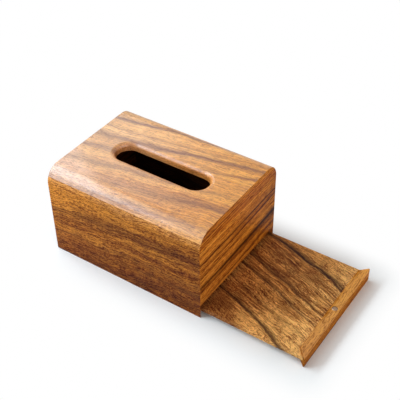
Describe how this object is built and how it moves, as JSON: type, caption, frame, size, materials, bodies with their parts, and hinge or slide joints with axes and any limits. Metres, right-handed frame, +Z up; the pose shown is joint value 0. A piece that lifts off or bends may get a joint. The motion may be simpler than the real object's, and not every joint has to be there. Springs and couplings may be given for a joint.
{
  "type": "tissue box",
  "caption": "Wooden tissue box with rounded long top edges, a round-ended slot in the top, and a bottom board that slides out of one end in grooves behind a low mitred front.",
  "frame": {"origin": "on the floor, at the centre of the footprint of the case and the pulled-out drawer together", "axes": "+X out of the drawer's end, along the length; +Y across the width, to the right when facing the drawer's end; +Z up"},
  "size_m": [0.258, 0.12, 0.09],
  "materials": {
    "top_wood": "oiled, satin",
    "side_wood": "oiled, satin",
    "end_wood": "oiled, satin",
    "drawer_bottom_wood": "oiled, open grain",
    "drawer_front_wood": "oiled, satin",
    "spline_wood": "raw, hidden",
    "magnet_nickel": "nickel plate"
  },
  "bodies": {
    "case": {"top_board": "top_wood", "left_side_board": "side_wood", "right_side_board": "side_wood", "front_board": "end_wood", "rear_board": "end_wood", "case_magnet": "magnet_nickel", "front_left_spline": "spline_wood", "front_right_spline": "spline_wood", "rear_left_spline": "spline_wood", "rear_right_spline": "spline_wood"},
    "drawer": {"drawer_bottom": "drawer_bottom_wood", "drawer_front": "drawer_front_wood", "drawer_magnet": "magnet_nickel"}
  },
  "joints": [
    {"name": "drawer_slide", "type": "slide", "parent": "case", "child": "drawer", "axis": [1, 0, 0], "range_m": [-0.098, 0.057]}
  ]
}
